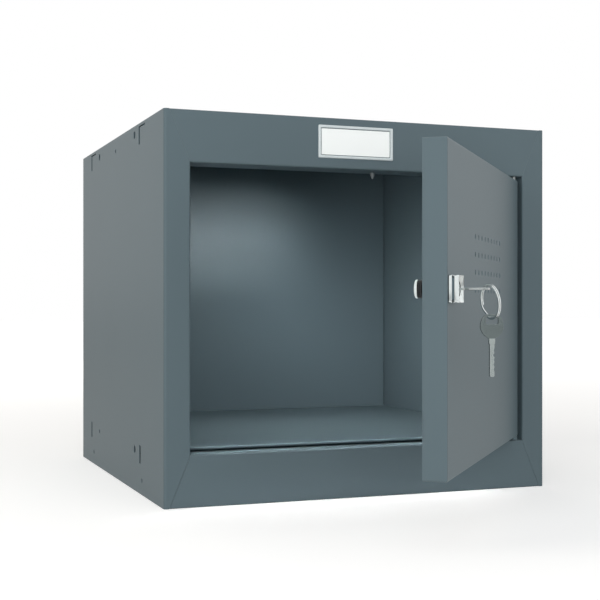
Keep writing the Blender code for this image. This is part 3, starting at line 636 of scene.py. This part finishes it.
def lock_plug():
    """The turning plug: an eased rim, a keyway and a tail behind."""
    face = dish(PLUG / 2, 0) - PLUG_SETBACK
    radius = PLUG / 2
    tail = CAM_HOLE / 2 - TAIL_GAP
    low = box_depths("cam_nut")[0]
    profile = [(AXIS_HOLE, low), (tail, low), (tail, -PLUG_DEPTH), (radius, -PLUG_DEPTH),
               (radius, face - PLUG_RIM), (radius - PLUG_RIM, face), (AXIS_HOLE, face)]
    body = to_mesh(turned(profile), "lock_plug")
    width, height = KEYWAY
    bottom = face + KEY_BLADE_END - KEYWAY_SPARE
    way = box_bm((-width / 2, -height / 2, bottom), (width / 2, height / 2, face + OVERRUN))
    mesh = cut_with(body, way, "plug_face")
    return shown("plug_face", mesh, CHROME, "lock_core", ["lock_plug"], LOCK)


def box_depths(node):
    """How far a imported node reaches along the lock's axis, from the door's face."""
    inverse = LOCK.inverted()
    depths = [(inverse @ vertex.co).z for vertex in frame["nodes"][node].data.vertices]
    return min(depths), max(depths)


def cam_disc():
    """The round nut that holds the cam, with a rolled rim."""
    low, high = box_depths("cam_nut")
    radius = CAM_NUT / 2
    hole = CAM_HOLE / 2
    profile = eased([(radius, high), (radius, low), (hole, low), (hole, high)], NUT_EDGE)
    mesh = to_mesh(turned(profile, closed=True), "cam_disc")
    return shown("cam_disc", mesh, CHROME, "lock_core", ["cam_nut"], LOCK)


def key_outline():
    """Outline of a flat key with its shoulder at the origin and its bow towards +Y."""
    radius = KEY_BOW / 2
    centre = (0, KEY_BOW_MIDDLE)
    top = math.degrees(math.asin((KEY_BOW_END - KEY_BOW_MIDDLE) / radius))
    bottom = math.degrees(math.acos(KEY_NECK / 2 / radius))
    right = arc(centre, radius, top, -bottom, KEY_BOW_STEPS)
    left = [(-x, y) for x, y in reversed(right)]
    half = KEY_BLADE / 2
    pitch = -KEY_BLADE_END / (len(KEY_CUT_SHARES) + 2)
    tip = half * KEY_TIP_SHARE
    blade = [(KEY_NECK / 2, 0), (half, 0)]
    for i, share in enumerate(KEY_CUT_SHARES):
        y = -pitch * (i + 1)
        depth = half - share * KEY_BLADE
        slope, flat, cut = (y - pitch * stage for stage in KEY_CUT_STAGES)
        blade += [(half, y), (depth, slope), (depth, flat), (half, cut)]
    blade += [(half, KEY_BLADE_END + tip), (half - tip, KEY_BLADE_END)]
    blade += [(tip - half, KEY_BLADE_END), (-half, KEY_BLADE_END + tip), (-half, 0), (-KEY_NECK / 2, 0)]
    return right + blade + left


def key_mesh(name):
    """A stamped key with a milled groove down both sides of its blade."""
    hole_middle = KEY_BOW_END - KEY_BAR - KEY_HOLE[1] / 2
    hole = [(x, y + hole_middle) for x, y in rounded_box(*KEY_HOLE, KEY_HOLE_CORNER, KEY_HOLE_STEPS)]
    mesh = plate(key_outline(), [hole], KEY_PLATE, KEY_EDGE)
    width, depth = KEY_GROOVE
    for side in (-1, 1):
        surface = side * KEY_PLATE / 2
        heights = sorted((surface - side * depth, surface + side * OVERRUN))
        groove = box_bm((-width, KEY_BLADE_END - OVERRUN, heights[0]), (0, KEY_GROOVE_START, heights[1]))
        mesh = cut_with(mesh, groove, name)
    return mesh


def keys():
    """The key in the lock lies flat; the spare hangs upright from the ring, square to its plane."""
    lie = Matrix.Rotation(math.pi / 2, 4, "X")
    seat = box_depths("key")[1] - KEY_BOW_END
    place = LOCK @ Matrix.Translation((0, 0, seat)) @ lie
    mesh = key_mesh("turning_key")
    turning = shown("turning_key", mesh, KEY_NICKEL, "inserted_key", ["key"], place)
    hang = LOCK.to_3x3().to_4x4() @ Matrix.Rotation(math.radians(-RING_TURN), 4, "Y")
    low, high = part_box("spare_key")
    hang.translation = Vector(((low.x + high.x) / 2, (low.y + high.y) / 2, high.z - KEY_BOW_END))
    mesh = key_mesh("hanging_spare")
    hanging = shown("hanging_spare", mesh, KEY_NICKEL, "hanging_key", ["spare_key"], hang)
    # Painted highlight: the side faces of each key's plate take the lighter copy of its nickel
    for key in (turning, hanging):
        key.data.materials.append(KEY_SIDES_HIGHLIGHT)
        for face in key.data.polygons:
            if abs(face.normal.z) < KEY_SIDE_SLOPE:
                face.material_index = 1


def ring_path(steps):
    """Middle line of the ring: two flat turns joined by a joggle, about Z."""
    radius = RING / 2 - RING_BAND / 2
    points = []
    for i in range(steps + 1):
        turns = i * RING_TURNS / steps
        share = min(max((turns - (1 - RING_JOGGLE_SHARE)) / RING_JOGGLE_SHARE, 0), 1)
        height = RING_RISE * (1 - 2 * (3 * share ** 2 - 2 * share ** 3))
        turn = math.tau * (turns + RING_START_SHARE)
        points.append((radius, turn, height))
    return points


def split_ring():
    """A coil of flat spring wire with rounded edges and square-cut ends."""
    section = rounded_box(RING_BAND, RING_LEAF, RING_LEAF * RING_CORNER_SHARE, RING_CORNER_STEPS)
    rings = []
    for radius, turn, height in ring_path(RING_STEPS):
        out = Vector((math.cos(turn), math.sin(turn), 0))
        rings.append([tuple(out * (radius + x) + Vector((0, 0, height + y))) for x, y in section])
    mesh = to_mesh(lofted(rings), "wound_ring")
    swing = Matrix.Rotation(math.radians(-RING_SWING), 4, "X")
    turn = Matrix.Rotation(-math.pi / 2 - math.radians(RING_TURN), 4, "Y")
    mesh.transform(LOCK.to_3x3().to_4x4() @ swing @ turn)
    place = Matrix.Translation(middle("split_ring"))
    return shown("wound_ring", mesh, RING_STEEL, "key_ring", ["split_ring"], place, RING_SMOOTH)


def label_frame():
    """The pressed holder: a raised border with soft edges, round the card."""
    low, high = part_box("label_frame")
    width = high.x - low.x
    height = high.z - low.z
    depth = high.y - low.y
    upright = Matrix.Rotation(math.pi / 2, 4, "X")
    place = Matrix.Translation(((low.x + high.x) / 2, high.y, (low.z + high.z) / 2)) @ upright
    rings = []
    ease = depth / 3
    part = ease * LABEL_EASE_SHARE
    window = LABEL_BORDER
    for inset, rise in ((0, 0), (0, depth - ease), (part, depth - part), (ease, depth),
                        (window - ease, depth), (window - part, depth - part),
                        (window, depth - ease), (window, 0)):
        outline = rounded_box(width - inset * 2, height - inset * 2, LABEL_CORNER, LABEL_CORNER_STEPS)
        rings.append([(x, y, rise) for x, y in outline])
    mesh = to_mesh(lofted(rings, closed=True), "pressed_holder")
    return shown("pressed_holder", mesh, HOLDER, "cabinet", ["label_frame"], place)


def buffer_stud():
    """The nylon stud under the top rail, tapered to a round end."""
    low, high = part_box("top_buffer")
    radius = (high.x - low.x) / 2
    length = high.z - low.z
    tip = radius * STUD_TIP_SHARE
    profile = [(AXIS_HOLE, 0), (radius, 0), (radius, -length / 3), (tip, tip - length)]
    dome = arc((0, tip - length), tip, 0, -90, STUD_DOME_STEPS)
    profile += dome[1:-1] + [(AXIS_HOLE, -length)]
    mesh = to_mesh(turned(profile, steps=STUD_STEPS), "buffer_stud")
    place = Matrix.Translation(((low.x + high.x) / 2, (low.y + high.y) / 2, high.z))
    return shown("buffer_stud", mesh, NYLON, "cabinet", ["top_buffer"], place)


def stage_material(name):
    """Pale diffuse ground with the shadows kept; the camera sees it turn white from near to far."""
    material = bpy.data.materials.new(name)
    material.use_nodes = True
    tree = material.node_tree
    tree.nodes.clear()
    output = tree.nodes.new("ShaderNodeOutputMaterial")
    diffuse = tree.nodes.new("ShaderNodeBsdfDiffuse")
    diffuse.inputs["Color"].default_value = FLOOR_SHADE
    light = tree.nodes.new("ShaderNodeEmission")
    distance = tree.nodes.new("ShaderNodeVectorMath")
    distance.operation = "LENGTH"
    tree.links.new(tree.nodes.new("ShaderNodeTexCoord").outputs["Object"], distance.inputs[0])
    rise = tree.nodes.new("ShaderNodeMapRange")
    rise.inputs["From Min"].default_value = FLOOR_GLOW_SPAN[0]
    rise.inputs["From Max"].default_value = FLOOR_GLOW_SPAN[1]
    rise.inputs["To Min"].default_value = FLOOR_GLOW
    rise.inputs["To Max"].default_value = 1.0
    tree.links.new(distance.outputs["Value"], rise.inputs["Value"])
    level = tree.nodes.new("ShaderNodeMix")
    level.inputs["A"].default_value = MIRRORED_GLOW
    tree.links.new(rise.outputs["Result"], level.inputs["B"])
    path = tree.nodes.new("ShaderNodeLightPath")
    tree.links.new(path.outputs["Is Camera Ray"], level.inputs["Factor"])
    strength = tree.nodes.new("ShaderNodeMath")
    strength.operation = "MULTIPLY"
    tree.links.new(seen_directly(tree), strength.inputs[0])
    tree.links.new(level.outputs["Result"], strength.inputs[1])
    tree.links.new(strength.outputs[0], light.inputs["Strength"])
    both = tree.nodes.new("ShaderNodeAddShader")
    tree.links.new(diffuse.outputs[0], both.inputs[0])
    tree.links.new(light.outputs[0], both.inputs[1])
    tree.links.new(both.outputs[0], output.inputs["Surface"])
    return material


def seen_directly(tree):
    """1 for camera, mirror and see-through rays, else 0."""
    path = tree.nodes.new("ShaderNodeLightPath")
    result = path.outputs["Is Camera Ray"]
    for ray in ("Is Glossy Ray", "Is Transmission Ray"):
        step = tree.nodes.new("ShaderNodeMath")
        step.operation = "MAXIMUM"
        tree.links.new(result, step.inputs[0])
        tree.links.new(path.outputs[ray], step.inputs[1])
        result = step.outputs[0]
    return result


def floor():
    bm = bmesh.new()
    bmesh.ops.create_grid(bm, x_segments=1, y_segments=1, size=FLOOR_REACH)
    mesh = to_mesh(bm, "floor")
    ground = bpy.data.objects.new("floor", mesh)
    bpy.context.scene.collection.objects.link(ground)
    mesh.materials.append(stage_material("floor"))


def world():
    """White surroundings, dimmer for the light that falls on the object."""
    surroundings = bpy.data.worlds.new("studio")
    bpy.context.scene.world = surroundings
    surroundings.use_nodes = True
    tree = surroundings.node_tree
    background = tree.nodes["Background"]
    background.inputs["Color"].default_value = (1, 1, 1, 1)
    level = tree.nodes.new("ShaderNodeMapRange")
    level.inputs["To Min"].default_value = WORLD_LIGHT
    level.inputs["To Max"].default_value = 1.0
    tree.links.new(seen_directly(tree), level.inputs["Value"])
    tree.links.new(level.outputs["Result"], background.inputs["Strength"])


def area_light(name, place, target, size, power, colour, spread=OPEN_SPREAD):
    light = bpy.data.lights.new(name, "AREA")
    light.shape = "RECTANGLE"
    light.size = size[0]
    light.size_y = size[1]
    light.energy = power
    light.color = colour
    light.spread = math.radians(spread)
    lamp = bpy.data.objects.new(name, light)
    bpy.context.scene.collection.objects.link(lamp)
    lamp.location = place
    lamp.rotation_euler = (Vector(target) - Vector(place)).to_track_quat("-Z", "Y").to_euler()
    lamp.visible_camera = False
    lamp.visible_glossy = False
    return lamp


def lights():
    """Softboxes round the locker and small lamps that fill its compartment."""
    for name, place, size, power, colour in SOFTBOXES:
        area_light(name, place, LIT_POINT, size, power, colour)
    for name, place, target, size, power, spread in FILL_LIGHTS:
        area_light(name, place, target, size, power, NEUTRAL, spread)


def camera():
    data = bpy.data.cameras.new("camera")
    data.lens = CAMERA_LENS
    data.shift_y = CAMERA_RISE
    view = bpy.data.objects.new("camera", data)
    view.location = CAMERA_PLACE
    view.rotation_euler = (math.pi / 2, 0, math.radians(CAMERA_TURN))
    bpy.context.scene.collection.objects.link(view)
    bpy.context.scene.camera = view


camera()
finish_nodes()
lock_body()
lock_plug()
cam_disc()
keys()
split_ring()
label_frame()
buffer_stud()
floor()
world()
lights()
bpy.context.scene.view_settings.view_transform = "Standard"
